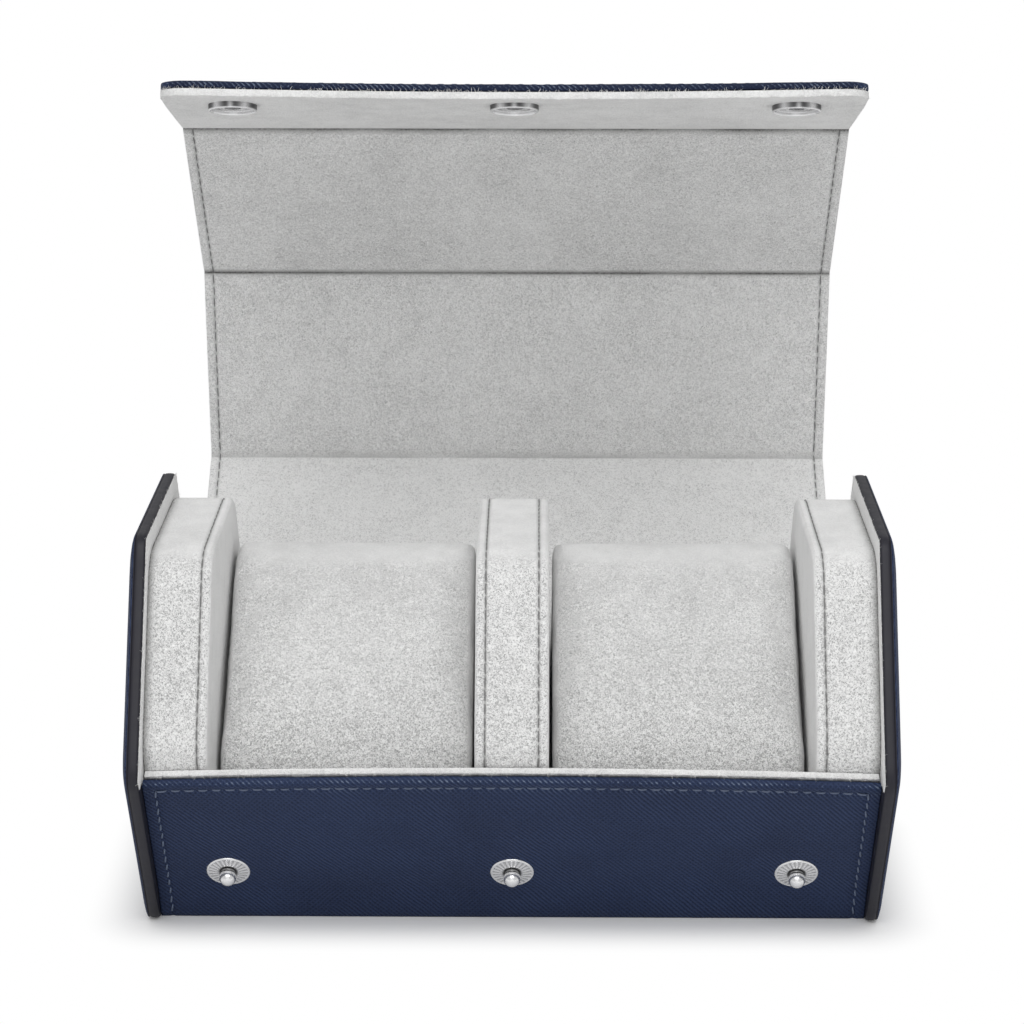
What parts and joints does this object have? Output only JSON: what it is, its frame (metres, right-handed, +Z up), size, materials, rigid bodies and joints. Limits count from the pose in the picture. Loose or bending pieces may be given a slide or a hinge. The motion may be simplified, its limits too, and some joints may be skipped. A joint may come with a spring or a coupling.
{
  "type": "watch storage case",
  "caption": "Six-sided travel case for wristwatches with a folding leather lid, press studs, suede lining and lift-out cushions in padded bays.",
  "frame": {"origin": "centre of the underside, on the surface the case stands on", "axes": "+X to the right seen from the open front, +Y to the back where the lid is hinged, +Z up"},
  "size_m": [0.184, 0.1566, 0.1989],
  "materials": {
    "navy_leather": "cross-grain embossed, low sheen",
    "grey_suede": "short brushed nap",
    "board": "pressed greyboard",
    "foam": "open-cell filling",
    "snap_metal": "bright plated"
  },
  "bodies": {
    "base": {"body_leather": "navy_leather", "bottom_board": "board", "front_wall_board": "board", "back_wall_board": "board", "body_lining": "grey_suede", "left_end_leather": "navy_leather", "left_end_edge_band": "navy_leather", "left_end_board": "board", "left_end_lining": "grey_suede", "left_pad_band": "grey_suede", "left_pad_side": "grey_suede", "left_end_padding": "foam", "left_pad_core": "foam", "right_end_leather": "navy_leather", "right_end_edge_band": "navy_leather", "right_end_board": "board", "right_end_lining": "grey_suede", "right_pad_band": "grey_suede", "right_pad_side": "grey_suede", "right_end_padding": "foam", "right_pad_core": "foam", "divider_band": "grey_suede", "divider_left_side": "grey_suede", "divider_right_side": "grey_suede", "divider_core": "foam", "press_stud_posts": "snap_metal", "press_stud_rivets": "snap_metal"},
    "lid_back": {"lid_back_leather": "navy_leather", "lid_back_board": "board", "lid_back_lining": "grey_suede"},
    "lid_top": {"lid_top_leather": "navy_leather", "lid_top_board": "board", "lid_top_lining": "grey_suede"},
    "lid_front": {"lid_front_leather": "navy_leather", "lid_front_board": "board", "lid_front_lining": "grey_suede"},
    "flap": {"flap_leather": "navy_leather", "flap_board": "board", "flap_lining": "grey_suede", "snap_caps": "snap_metal", "snap_sockets": "snap_metal", "snap_springs": "snap_metal"},
    "cushion_left": {"left_cushion_cover": "grey_suede", "left_cushion_core": "foam"},
    "cushion_right": {"right_cushion_cover": "grey_suede", "right_cushion_core": "foam"}
  },
  "joints": [
    {"name": "lid_hinge", "type": "hinge", "parent": "base", "child": "lid_back", "pos_m": [0, 0.05565, 0.0485], "axis": [-1, 0, 0], "range_deg": [-84.5, 47.5]},
    {"name": "top_crease", "type": "hinge", "parent": "lid_back", "child": "lid_top", "pos_m": [0, 0.10096, 0.08082], "axis": [-1, 0, 0], "range_deg": [-2, 58]},
    {"name": "front_crease", "type": "hinge", "parent": "lid_top", "child": "lid_front", "pos_m": [0, 0.09756, 0.13637], "axis": [-1, 0, 0], "range_deg": [-25, 35]},
    {"name": "flap_crease", "type": "hinge", "parent": "lid_front", "child": "flap", "pos_m": [0, 0.06048, 0.18299], "axis": [-1, 0, 0], "range_deg": [-27, 33]},
    {"name": "left_cushion_lift", "type": "slide", "parent": "base", "child": "cushion_left", "axis": [0, 0, 1], "range_m": [0, 0.09]},
    {"name": "right_cushion_lift", "type": "slide", "parent": "base", "child": "cushion_right", "axis": [0, 0, 1], "range_m": [0, 0.09]}
  ]
}
